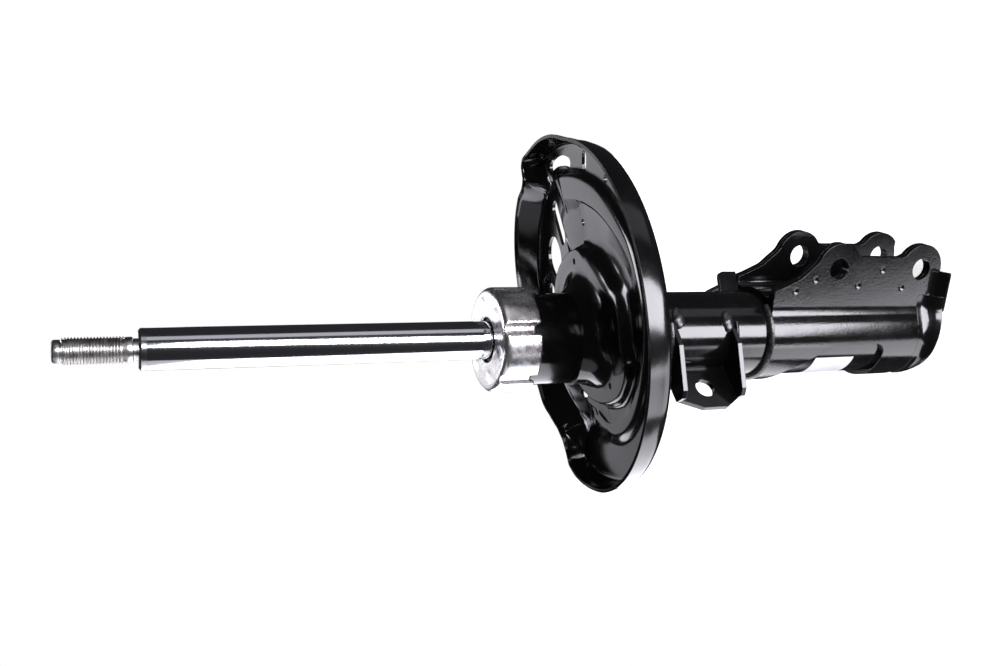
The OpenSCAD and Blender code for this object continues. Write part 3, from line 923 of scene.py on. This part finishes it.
@dataclass
class SpringSeat:
    """Pressed spring pan with its hub and neck, one sheet with soft folds.

    An outline gives a reach or a height at its bearings. A span gives a bearing and how closely
    the sections stand from there on.
    """

    sheet: float = 2.0
    rim_high: float = 12.5
    far_rise: float = 2.0
    lean: float = 7.6
    lean_towards: float = 149.8
    centre: Triple = (-35.43, 5.7, 155.55)
    plateau: float = 3.2
    hub: float = 8.4
    least_flank: float = 3.6
    far_fall: float = 3.6
    far_foot: float = -1.0
    rim_in: float = 2.5
    rim_roll: Span = (0.9, 0.55)
    step_deep: float = 0.75
    pad_deep: float = 0.9
    hub_deep: float = 0.35
    neck_rise: Span = (4.0, 12.0)
    tube: float = 27.0
    tube_at: Span = (-11.6, -6.0)
    punch: Span = (-14.0, 20.0)
    sectors: int = 600
    under_corners: tuple[int, ...] = (0, 1, 2, 3, 4, 5, 7, 11, 12, 13)
    spans: tuple[Span, ...] = (
        (0.0, 1.0), (10.0, 2.0), (18.0, 1.0), (38.0, 3.0), (54.0, 1.0), (165.0, 3.4), (182.0, 1.2),
        (215.0, 0.8), (300.0, 1.0), (360.0, 0.0),
    )
    rim: ClassVar[Outline] = Outline(
        (8, 107.5), (20, 112.3), (30, 116.4), (40, 120.3), (46.4, 123), (48.6, 120), (50.6, 112.2),
        (54, 110.2), (60, 112.6), (65, 112.5), (74, 110.4), (84, 106.3), (94, 101), (115, 94.5),
        (137, 90.2), (145, 90.8), (155, 87.3), (164, 85.7), (169, 88), (172.6, 94.6), (176, 102.4),
        (186, 105.1), (198, 105.6), (208, 106.3), (220, 106.5), (280, 106.5), (350, 106.5),
    )
    fold: ClassVar[Outline] = Outline(
        (7, 100.5), (16, 104.5), (25, 108), (34, 112), (41, 116.5), (44.2, 119), (46.5, 116.8),
        (48.5, 112.5), (50, 109.2), (53, 102.4), *FAR_SIDE, (161.5, 74.3), (165.5, 82.3),
        (168, 84), (170, 86.3), (172.6, 91.5), (175.6, 98), (178, 99.5), (186, 100), (198, 99.4),
        (206, 100), (216, 101.8), (280, 101.8), (350, 101.8),
    )
    fold_high: ClassVar[Outline] = Outline(
        (42, 0), (44.4, 0), (50, 12.5), (53, 1.8), (56, -1), (158.5, -1), (161.5, -0.9),
        (165.5, 11), (168, 11), (175.6, 0), (178, 0),
    )
    far_edge: ClassVar[Outline] = Outline(
        (42, 98.5), (50, 99.4), *FAR_SIDE, (171.5, 74.3), (176, 76), (180, 80),
    )
    track: ClassVar[Outline] = Outline(
        (2.6, 85.1), (9.4, 86.8), (17.4, 88.8), (25.5, 91.6), (35, 95.9), (42.5, 99), (44.4, 101),
        (46, 103.5), (50, 103.5), (53, 100.4), (60, 98), (150, 73), (161.5, 73.6), (165.5, 78.3),
        (172, 79), (175.6, 80.4), (178, 82), (180.5, 82.6), (185.5, 77.6), (193, 77.6),
        (202, 78.9), (216, 80.9), (235, 82.5), (280, 84), (314, 84.6), (330, 83.6), (345, 84.2),
    )
    track_high: ClassVar[Outline] = Outline(
        (42.5, 0), (44.2, 0), (50, 4.4), (53, -0.8), (60, -0.8), (150, -0.8), (161.5, -0.8),
        (165.5, 5.5), (168, 5.2), (175.6, 0), (180, 0),
    )
    top: ClassVar[Outline] = Outline(
        (5, 81.3), (14.7, 84), (23.2, 87.1), (33, 91.5), (38.4, 93.4), (60, 80), (150, 60),
        (180, 60), (190, 62), (194, 64), (205, 68.2), (211, 71.6), (219, 75.3), (228, 77.6),
        (240, 78.6), (280, 79.5), (314, 80), (327, 78), (338, 77.5), (349, 78.7),
    )
    crease: ClassVar[Outline] = Outline(
        (10.3, 69.4), (20.4, 71.7), (32.9, 75.6), (60, 68), (150, 56), (195, 58), (210, 66),
        (225, 72), (250, 74.4), (285, 75), (306, 75.2), (313, 73.5), (322.5, 70.8), (333, 68.5),
        (347, 67.5), (358.7, 67.7),
    )
    hub_foot: ClassVar[Outline] = Outline(
        (9.6, 46.4), (18, 43.5), (30, 42), (42, 42), (60, 43.6), (90, 45), (135, 45.2),
        (178, 45.8), (188, 47.6), (198, 51), (209, 56), (214, 58.4), (226, 63.4), (231.5, 65.9),
        (237, 68.5), (244, 70.1), (260, 70.1), (280, 70.2), (295, 69.6), (300.4, 68.7), (307, 65),
        (314, 61.8), (323, 58.5), (335, 53.5), (345.4, 50.8), (356.7, 47.8),
    )
    hub_edge: ClassVar[Outline] = Outline(
        (4, 38.9), (12, 39.8), (22, 39.7), (41, 39.7), (58, 41.2), (70, 42.3), (90, 43),
        (135, 43.4), (178, 43.5), (188, 45), (198, 48), (209.6, 51), (222, 55.2), (233, 60.1),
        (242, 64.3), (249, 66.6), (256, 67.4), (262, 65.5), (267, 58.5), (272, 53), (280, 49.2),
        (292, 46.4), (301, 43.6), (313, 39.4), (331, 36.9), (349, 36.5),
    )
    neck: ClassVar[Outline] = Outline(
        (15.5, 28.3), (30, 27.8), (48, 27.4), (57, 27), (75, 28), (100, 31), (130, 37), (150, 41),
        (165, 41.6), (178, 41.4), (190, 40.9), (196, 40.7), (213, 43.1), (225, 47.4), (232, 50),
        (243, 52), (254, 52.4), (267, 50), (280, 46.2), (291, 42), (309, 35.6), (323, 31.4),
        (336, 29.3), (354, 28.3),
    )

    def place(self) -> Matrix:
        """Place of the pan's own leaning frame."""
        turn = Matrix.Rotation(math.radians(self.lean_towards), 4, "Z")
        lean = Matrix.Rotation(math.radians(self.lean), 4, "Y")
        return Matrix.Translation(Vector(self.centre) * MM) @ turn @ lean @ turn.inverted()

    def bearings(self) -> list[float]:
        """Bearings of the sections, closest where the rim bends most."""
        spans = self.spans
        weights = [(high[0] - low[0]) * low[1] for low, high in zip(spans, spans[1:])]
        total = sum(weights)
        result = []
        for number in range(self.sectors):
            left = total * number / self.sectors
            for (low, dense), weight in zip(spans, weights):
                if left < weight:
                    result.append(low + left / dense)
                    break
                left -= weight
        return result

    def tube_reach(self, bearing: float) -> float:
        """Distance from the pan's centre to the tube's wall.

        Args:
            bearing: Degrees round the pan's centre.

        Returns:
            The distance, in millimetres.
        """
        way, at = way_at(bearing), Vector(self.tube_at)
        along, beside = at.dot(way), at.cross(way)
        return along + math.sqrt(self.tube ** 2 - beside ** 2)

    def section(self, bearing: float) -> list[Triple]:
        """Corners of the pan's section at a bearing: reach, height, rounding.

        Args:
            bearing: Degrees round the pan's centre.

        Returns:
            The corners from the rim's edge in to the neck's edge.
        """
        def between(rise: Span, fall: Span) -> float:
            """Share that rises over one span of bearings and falls over another."""
            return blend_step(bearing, *rise) * (1.0 - blend_step(bearing, *fall))

        # How far each part of the section has gone over to the form on the far side.
        far = between((43.0, 50.0), (166.0, 177.0))
        floor = between((43.0, 45.4), (176.0, 180.5))
        spare = between((53.0, 60.0), (155.0, 161.5))
        outer_flat = between((36.6, 39.6), (182.0, 192.0))
        inner_flat = between((31.8, 34.8), (188.0, 200.0))
        pad = between((13.2, 15.2), (211.6, 214.0))
        rim, fold = self.rim.at(bearing) - self.rim_in, self.fold.at(bearing)
        edge = self.hub_edge.at(bearing)
        foot = max(self.hub_foot.at(bearing), edge + self.least_flank)
        brink = self.far_edge.at(bearing)
        near, upright = blend_step(bearing, 200.0, 225.0), blend_step(bearing, 268.0, 286.0)
        width = brink - foot
        track = mix(self.track.at(bearing), brink - 0.14 * width, spare)
        top = mix(self.top.at(bearing), foot + (0.99 - 0.27 * spare) * width, floor)
        top = min(top, track - 0.5)
        crease = mix(self.crease.at(bearing), foot + 0.5 * width, floor)
        deep = blend_step(bearing, 296.0, 312.0) if bearing > 180 else 1.0
        spread = 1.0 + (7.5 * blend_step(bearing, 6.0, 30.0) if bearing < 180 else 0.0)
        step_foot = crease - spread * (1 - floor) - 0.16 * width * floor
        inner_high = self.plateau - self.step_deep * deep - self.pad_deep * pad
        sunk = blend_step(bearing, 215.0, 290.0)
        if bearing < 180:
            sunk = 1.0 - blend_step(bearing, 5.0, 40.0)
        hub_floor = inner_high - self.hub_deep - sunk

        def level(near: float, reach: float, share: float) -> float:
            """Height that runs from the near form to the sloping far floor."""
            return mix(near, self.far_fall * (brink - reach) / width + self.far_foot, share)

        drop, flank = self.hub - level(hub_floor, foot, floor), foot - edge
        neck, wall = self.neck.at(bearing), self.tube_reach(bearing)
        rim_high = self.rim_high + self.far_rise * far
        roll = 0.3 + (self.rim_roll[0] - self.rim_roll[1] * upright) * near
        return [
            (rim, rim_high, 0.0),
            (rim - roll, rim_high - 2.0 - 4.0 * near, 3.0),
            (fold, self.fold_high.at(bearing), 2.2 + 2.8 * near),
            (track, level(self.track_high.at(bearing), track, spare), 2.5),
            (top, level(self.plateau, top, outer_flat), 2.5),
            (crease, level(self.plateau, crease, inner_flat), 0.5),
            (step_foot, level(inner_high, step_foot, floor), 0.6 + 2.0 * pad),
            (foot, level(hub_floor, foot, floor), 2.5),
            (edge + 0.66 * flank, self.hub - 0.86 * drop, 6.0),
            (edge + 0.33 * flank, self.hub - 0.16 * drop, 6.0),
            (edge + 0.1 * flank, self.hub, 1.6),
            (neck, self.hub, 2.6),
            ((neck + wall) / 2 - 1.0, self.hub + self.neck_rise[0], 5.0),
            (wall + 0.1, self.hub + self.neck_rise[1], 0.0),
        ]

    def sheet_form(self) -> Piece:
        """Bend a grid into the pan's closed sheet, with both of its faces."""
        faces, ways = [], []
        for bearing in self.bearings():
            corners = self.section(bearing)
            under = under_side([corners[n] for n in self.under_corners], self.sheet)
            upper = soft_corners(corners, 4, 2)
            faces.append(upper + soft_corners(under, 3, 1)[::-1] + upper[:1])
            ways.append(way_at(bearing))

        def spot(column: float, row: int) -> Triple:
            """Place of a point of the sheet."""
            sector = round(column) % self.sectors
            reach, height = faces[sector][row]
            return (*(ways[sector] * reach), height)

        return grid_form("spring_pan", self.sectors, len(faces[0]) - 1, spot)

    def cutter(self, outline: Profile) -> Piece:
        """Make a punch in the pan's own frame.

        Args:
            outline: Points round the punch, in millimetres.

        Returns:
            The closed punch.
        """
        low, high = self.punch
        clear_selection()
        bpy.ops.mesh.primitive_circle_add(vertices=len(outline), radius=MM, fill_type="NGON")
        punch = bpy.context.active_object
        for vertex, (x, y) in zip(punch.data.vertices, outline):
            vertex.co = (x * MM, y * MM, low * MM)
        rise = (0.0, 0.0, (high - low) * MM)
        with editing(punch, Pick.FACES):
            bpy.ops.mesh.select_all(action="SELECT")
            bpy.ops.mesh.extrude_region_move(TRANSFORM_OT_translate={"value": rise})
            bpy.ops.mesh.select_all(action="SELECT")
            bpy.ops.mesh.normals_make_consistent(inside=False)
        return punch

    def windows(self) -> list[Profile]:
        """Outlines of all windows and holes."""
        def arc(centre: Span, reach: float, start: float, end: float, steps: int = 10) -> Profile:
            """Points along an arc from one bearing to another."""
            turns = [start + (end - start) * number / steps for number in range(steps + 1)]
            return [tuple(Vector(centre) + way_at(turn) * reach) for turn in turns]

        def hole(x: float, y: float, radius: float) -> Profile:
            """Points round a hole."""
            return arc((x, y), radius, 0.0, 345.0, 23)

        oval = [
            (10.2, 58), (12, 65.5), (17, 72.4), (23.5, 74.6), (29.5, 73), (34.6, 67.6), (36, 61),
            (33, 54), (28.5, 48.6), (22, 46), (15, 47.6), (11, 52),
        ]
        round_oval = [
            curve_through([oval[(number + n) % len(oval)] for n in (-1, 0, 1, 2)], step / 4)
            for number in range(len(oval)) for step in range(4)
        ]
        return [
            slot_outline(arc((42, 45), 45.2, -7, 32), 3.3),
            slot_outline([(88.6, 14.1), (94.4, 14.1)], 3.3, 4),
            slot_outline([(38.8, 45.3), (54.4, 63.5)], 4.8),
            slot_outline(arc((0, 0), 66.3, 92, 102), 5.8),
            [
                (-52.2, 2.5), (-52.0, 13.0), (-53.2, 14.6), (-57.2, 14.8), (-58.4, 13.6),
                (-57.6, 11.5), (-53.6, 2.6),
            ],
            round_oval,
            hole(85.4, -17.9, 2.4), hole(55.3, 10.9, 2.1), hole(69.5, 53.7, 1.3),
            hole(32.4, 8.7, 1.9), hole(-27.8, -47.0, 1.9),
        ]

    def build(self) -> None:
        """Make and dress the pan."""
        pan = self.sheet_form()
        punches = join("punches", *[self.cutter(outline) for outline in self.windows()])
        modify(pan, "BOOLEAN", operation="DIFFERENCE", object=punches, solver="EXACT")
        bpy.data.objects.remove(punches)
        pan.matrix_world = self.place()
        settle(pan, "spring_pan")
        smooth(pan, 30.0)
        paint = BlackPaint(name="pan_paint", edge=0.3).make()
        finish_piece(pan, Body.HOUSING, paint, ["spring_seat", "seat_collar"])


@dataclass
class BumpCap:
    """Zinc-plated cap with soft lobes."""

    grain: float = 0.5
    passes: int = 3

    def build(self) -> None:
        """Make and dress the cap."""
        cap = copy_nodes("lobed_cap", "bump_cap")
        press_soft(cap, self.grain, self.passes)
        finish_piece(cap, Body.HOUSING, ZincPlate().make(), ["bump_cap"])


@dataclass
class Brackets:
    """Tube, knuckle bracket and the small brackets, kept as the frame has them."""

    plain: tuple[str, ...] = (
        "outer_tube", "base_cap", "bracket_reinforcement", "stabiliser_bracket", "hose_bracket",
    )
    bead_grain: float = 0.4

    def build(self) -> None:
        """Dress the kept nodes and the weld beads."""
        paint = BlackPaint().make()
        coarse = BlackPaint(name="bracket_paint", peel=0.05, specks=0.9).make()
        for node in self.plain:
            dress(frame["nodes"][node], paint)
        dress(frame["nodes"]["knuckle_bracket"], coarse)
        seams = copy_nodes("weld_seams", "weld_beads")
        press_soft(seams, self.bead_grain, 1)
        finish_piece(seams, Body.HOUSING, WELDED_SEAM.make(), ["weld_beads"])


@dataclass
class WeldToes:
    """Weld blobs where the stabiliser bracket's flanges run out on the tube."""

    spots: tuple[Span, ...] = ((-57.0, 77.6), (-51.0, 112.0))
    half: Triple = (2.6, 6.6, 3.8)
    tube: float = 26.8
    ripple: float = 0.07
    waves: Span = (7.0, 3.0)

    def build(self) -> None:
        """Make and dress the blobs."""
        blobs = []
        for turn, height in self.spots:
            clear_selection()
            bpy.ops.mesh.primitive_uv_sphere_add(segments=36, ring_count=24, radius=MM)
            blob = bpy.context.active_object
            for vertex in blob.data.vertices:
                wave = vertex.co.yz.dot(self.waves) / MM + 0.1 * turn
                vertex.co *= 1.0 + self.ripple * math.sin(wave)
            turned = Matrix.Rotation(math.radians(turn), 4, "Z")
            spot = turned @ Vector((self.tube, 0.0, height)) + Vector((AXIS_X, 0.0, 0.0))
            size = Matrix.Diagonal((*self.half, 1.0))
            blob.matrix_world = Matrix.Translation(spot * MM) @ turned @ size
            blobs.append(blob)
        toes = join("weld_toes", *blobs)
        smooth(toes, 60.0)
        seam = replace(WELDED_SEAM, name="toe_seam").make()
        finish_piece(toes, Body.HOUSING, seam)


@dataclass
class FlaredEdge:
    """Flared lower edge that runs from the near ear round the wrap.

    A station is a place in X and Y, the bearing it faces, its reach outwards and its foot's height.
    """

    stations: tuple[tuple[float, ...], ...] = (
        (-17.0, -23.0, -90.0, 7.9, -84.0), (-24.0, -23.1, -88.0, 7.8, -84.0),
        (-29.0, -24.6, -76.0, 7.4, -84.0), (-34.8, -27.2, -67.0, 6.6, -83.6),
        (-41.3, -29.3, -78.0, 5.4, -82.8), (-47.5, -30.0, -90.0, 4.6, -81.9),
        (-54.2, -29.2, -103.0, 3.9, -80.8), (-60.7, -27.0, -116.0, 2.8, -79.2),
        (-66.0, -23.6, -128.0, 1.6, -77.4), (-71.1, -18.5, -142.0, 0.6, -75.8),
        (-74.7, -12.7, -155.0, 0.1, -75.0),
    )
    between: int = 10
    high: float = -69.0
    inside: float = -1.4

    def along(self, place: float) -> tuple[float, ...]:
        """Smooth the stations' values along the edge.

        Args:
            place: Number of the station, with the share of the way to the next.

        Returns:
            The values there, in a station's order.
        """
        last = len(self.stations) - 1
        number = min(int(place), last - 1)
        near = [self.stations[max(0, min(last, number + n))] for n in (-1, 0, 1, 2)]
        return curve_through(near, place - number)

    def section(self, reach: float, low: float) -> Profile:
        """Section of the flared sheet.

        Args:
            reach: How far its foot flares outwards.
            low: Height of its foot.

        Returns:
            Distance outwards and height of each point, back to the first.
        """
        high, inside = self.high, self.inside
        face = soft_corners([(0.06, high, 0.0), (0.12, -75.0, 2.5), (reach, low + 1.6, 0.0)], 5, 2)
        back = [
            (reach + 0.1, low + 0.9), (reach - 0.7, low), (0.3 * reach - 0.6, -78.2),
            (inside, -76.4), (inside, high),
        ]
        return face + back + face[:1]

    def build(self) -> None:
        """Make and dress the edge."""
        def spot(column: float, row: int) -> Triple:
            """Place of a point of the sheet."""
            x, y, turn, reach, low = self.along(column / self.between)
            out, height = self.section(reach, low)[row]
            return (*(Vector((x, y)) + way_at(turn) * out), height)

        steps = (len(self.stations) - 1) * self.between
        edge = grid_form("flared_edge", steps, len(self.section(5.0, -82.0)) - 1, spot)
        smooth(edge, 40.0)
        finish_piece(edge, Body.HOUSING, BlackPaint(name="lip_paint").make())


@dataclass
class TubeLabel:
    """Blank label stuck round the tube behind the wrap's window."""

    radius: float = 27.12
    low: float = -22.5
    high: float = 8.0
    start: float = 205.0
    end: float = 250.0
    film: float = 0.1
    facets: int = 180

    def build(self) -> None:
        """Make and dress the label."""
        clear_selection()
        bpy.ops.mesh.primitive_cylinder_add(
            vertices=self.facets, radius=self.radius * MM, depth=(self.high - self.low) * MM,
            end_fill_type="NOTHING", location=(AXIS_X * MM, 0.0, (self.low + self.high) / 2 * MM),
        )
        label = settle(bpy.context.active_object, "blank_label")

        def outside(co: Vector) -> bool:
            """Whether a place lies beside the label's ends."""
            angle = math.degrees(math.atan2(co.y, co.x - AXIS_X * MM)) % 360
            return not self.start <= angle <= self.end

        pick_verts(label, outside)
        with editing(label):
            bpy.ops.mesh.delete(type="VERT")
        modify(label, "SOLIDIFY", thickness=self.film * MM, offset=0.0)
        smooth(label)
        finish_piece(label, Body.HOUSING, LABEL_PAPER.make())


@dataclass
class DamperInside:
    """The parts inside the tube, dressed in their own metals."""

    def build(self) -> None:
        """Dress every inner node."""
        metals = (
            BareMetal(
                "drawn_steel", (0.42, 0.43, 0.45), (0.6, 0.6, 0.62), (0.18, 0.3), 260.0, 0.006, 0.12
            ),
            BareMetal(
                "turned_steel", (0.4, 0.4, 0.41), (0.58, 0.58, 0.6), (0.22, 0.36), 400.0, 0.01, 6.0
            ),
            BareMetal("sintered", (0.17, 0.16, 0.155), (0.3, 0.29, 0.28), (0.42, 0.62), 1100.0, 0.05),
            BareMetal("bronze_band", (0.28, 0.19, 0.08), (0.46, 0.33, 0.17), (0.3, 0.5), 700.0, 0.02),
        )
        drawn, turned, sinter, bronze = (metal.make() for metal in metals)
        finishes = (
            (drawn, (
                "pressure_tube", "seal_retainer", "base_shims", "intake_disc",
                "compression_shims", "rebound_shims",
            )),
            (turned, ("seal_spring", "base_valve_pin", "piston_nut", "rebound_stop")),
            (sinter, ("rod_guide", "base_valve", "piston")),
            (bronze, ("guide_bush", "piston_band")),
            (MOULDED_RUBBER.make(), ("rod_seal", "rebound_bumper")),
        )
        for material, nodes in finishes:
            for node in nodes:
                dress(frame["nodes"][node], material)
            log.info("%s: %d inner parts", material.name, len(nodes))


# ------------------------------------------------------------------ studio


@dataclass(frozen=True)
class SoftBox:
    """One soft light, placed by its direction from the strut's middle."""

    name: str
    azimuth: float
    elevation: float
    distance: float
    width: float
    height: float
    radiance: float
    tilt: float = 0.0
    tint: Triple = (0.94, 0.93, 1.0)

    def build(self, aim: Vector) -> None:
        """Hang the light.

        Args:
            aim: The point it faces, in metres.
        """
        az, el = math.radians(self.azimuth), math.radians(self.elevation)
        ray = Vector((math.cos(az) * math.cos(el), math.sin(az) * math.cos(el), math.sin(el)))
        data = bpy.data.lights.new(self.name, "AREA")
        data.shape = "RECTANGLE"
        data.size = self.width
        data.size_y = self.height
        data.energy = self.radiance * math.pi * self.width * self.height
        data.color = self.tint
        light = bpy.data.objects.new(self.name, data)
        bpy.context.scene.collection.objects.link(light)
        across = Vector((0.0, 0.0, 1.0)).cross(ray).normalized()
        tilt = Matrix.Rotation(math.radians(self.tilt), 4, "Z")
        place = Matrix((across, ray.cross(across), ray)).transposed().to_4x4() @ tilt
        place.translation = aim + ray * self.distance
        light.matrix_world = place
        light.visible_camera = False


@dataclass
class Studio:
    """Plain pale floor, soft lights and a white surround."""

    floor_z: float = -86.0
    floor_size: float = 0.9
    aim_high: float = 170.0
    dim: Triple = (0.028, 0.028, 0.031)
    eye: Triple = (113.116, -514.749, 434.086)
    lens: float = 36.0
    sensor: float = 36.0
    boxes: tuple[SoftBox, ...] = (
        SoftBox("key", -61.0, -11.0, 1.1, 0.5, 1.56, 18.0, -12.0),
        SoftBox("fill", -14.0, -5.0, 1.2, 0.46, 1.7, 0.6),
        SoftBox("sweep", 178.0, -12.0, 1.05, 1.9, 1.3, 4.0),
        SoftBox("table", -123.0, -50.0, 1.0, 0.5, 0.42, 4.5),
        SoftBox("backdrop", 108.0, 17.0, 1.3, 0.95, 0.46, 0.8),
        SoftBox("backdrop_glow", 99.0, 17.0, 1.35, 0.35, 0.46, 0.6),
        SoftBox("strip", 101.0, 52.0, 1.3, 0.5, 0.56, 11.0),
        SoftBox("ceiling", -160.0, 32.0, 1.2, 0.85, 0.62, 0.7),
        SoftBox("kicker", -108.0, -33.0, 1.2, 0.12, 0.5, 3.0),
    )

    def floor(self) -> None:
        """Lay the floor."""
        clear_selection()
        spot = (AXIS_X * MM, 0.0, self.floor_z * MM)
        bpy.ops.mesh.primitive_plane_add(size=self.floor_size, location=spot)
        floor = bpy.context.active_object
        floor.name = "studio_floor"
        white = (1.0, 1.0, 1.0, 1.0)
        board = NodeBoard(
            "studio_floor", Roughness=0.9, Emission_Strength=0.75, Emission_Color=white
        )
        shades = [(0.0, (0.9, 0.9, 0.9)), (1.0, (0.93, 0.93, 0.93))]
        dress(floor, board.feed(board.ramp(board.noise(3.0, 2.0), shades)))
        floor.visible_glossy = False
        floor.visible_shadow = False

    def surround(self) -> None:
        """Surround the scene with white, dim where the lights are to be seen against it."""
        world = bpy.data.worlds.new("studio_surround")
        bpy.context.scene.world = world
        world.use_nodes = True
        tree = world.node_tree
        tree.nodes.clear()
        seen = add_node(tree, "ShaderNodeLightPath").outputs["Is Camera Ray"]
        dim, bright = (
            add_node(tree, "ShaderNodeBackground", {"Color": (*colour, 1.0)}).outputs["Background"]
            for colour in (self.dim, (1.0, 1.0, 1.0))
        )
        mix = add_node(tree, "ShaderNodeMixShader", {"Fac": seen, 1: dim, 2: bright})
        add_node(tree, "ShaderNodeOutputWorld", {"Surface": mix.outputs["Shader"]})

    def camera(self) -> None:
        """Stand the camera at the viewing angle."""
        right = Vector((0.085545, -0.364464, -0.92728))
        down = Vector((-0.959072, -0.28227, 0.022467))
        ahead = Vector((-0.269932, 0.887406, -0.373694))
        data = bpy.data.cameras.new("camera")
        data.sensor_width = self.sensor
        data.lens = self.lens
        data.clip_start = 0.01
        camera = bpy.data.objects.new("camera", data)
        bpy.context.scene.collection.objects.link(camera)
        place = Matrix((right, -down, -ahead)).transposed().to_4x4()
        place.translation = Vector(self.eye) * MM
        camera.matrix_world = place
        bpy.context.scene.camera = camera

    def build(self) -> None:
        """Set the whole studio up."""
        aim = Vector((AXIS_X, 0.0, self.aim_high)) * MM
        self.floor()
        for box in self.boxes:
            box.build(aim)
        self.surround()
        self.camera()
        bpy.context.scene.view_settings.view_transform = "Standard"


def main() -> None:
    """Build the strut, its studio and its camera, in order."""
    logging.basicConfig(level=logging.INFO, format="%(name)s %(message)s")
    parts = (
        StrutRod, BumpCap, SpringSeat, Brackets, WeldToes, FlaredEdge, TubeLabel, DamperInside,
        Studio,
    )
    for part in parts:
        part().build()


if __name__ == "__main__":
    main()
